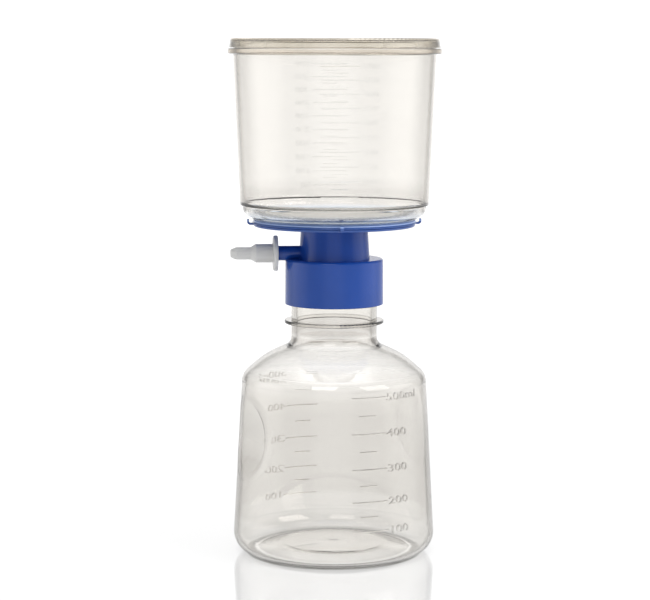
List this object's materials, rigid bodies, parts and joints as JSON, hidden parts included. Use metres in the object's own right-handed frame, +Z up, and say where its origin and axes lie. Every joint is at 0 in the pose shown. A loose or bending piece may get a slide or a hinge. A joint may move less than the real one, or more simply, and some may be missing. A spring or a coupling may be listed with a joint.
{
  "type": "vacuum filtration unit",
  "caption": "Bottle-top vacuum filtration unit: clear lidded chamber on a blue filter base with side vacuum port and hose adapter, screwed on a clear receiver bottle.",
  "frame": {"origin": "on the floor, under the middle of the bottle", "axes": "+Z up along the bottle's axis; the vacuum port points along -X"},
  "size_m": [0.1076, 0.1076, 0.2617],
  "materials": {
    "chamber_clear": "clear polystyrene, smooth gloss",
    "lid_clear": "clear polystyrene, smooth gloss",
    "bottle_clear": "clear blown plastic, smooth gloss",
    "base_blue": "blue moulded plastic, satin gloss",
    "adapter_white": "translucent natural plastic, satin",
    "membrane_white": "fine matt filter film",
    "gasket_grey": "soft pale rubber",
    "plug_fibre": "white fibre"
  },
  "bodies": {
    "receiver": {"receiver_bottle": "bottle_clear"},
    "gasket_ring": {"neck_gasket": "gasket_grey"},
    "filter_head": {"filter_base": "base_blue", "funnel": "chamber_clear", "membrane": "membrane_white", "port_plug": "plug_fibre"},
    "chamber_lid": {"lid": "lid_clear"},
    "adapter": {"hose_adapter": "adapter_white"}
  },
  "joints": [
    {"name": "head_lift", "type": "slide", "parent": "receiver", "child": "gasket_ring", "axis": [0, 0, 1], "range_m": [0, 0.022]},
    {"name": "head_unscrew", "type": "hinge", "parent": "gasket_ring", "child": "filter_head", "pos_m": [0, 0, 0.1484], "axis": [0, 0, 1], "range_deg": [0, 1980]},
    {"name": "lid_lift", "type": "slide", "parent": "filter_head", "child": "chamber_lid", "axis": [0, 0, 1], "range_m": [0, 0.03]},
    {"name": "adapter_pull", "type": "slide", "parent": "filter_head", "child": "adapter", "axis": [-1, 0, 0], "range_m": [0, 0.014]}
  ],
  "couplings": [
    {"joint": "head_lift", "follows": "head_unscrew", "m_per_rad": 0.0006366}
  ]
}
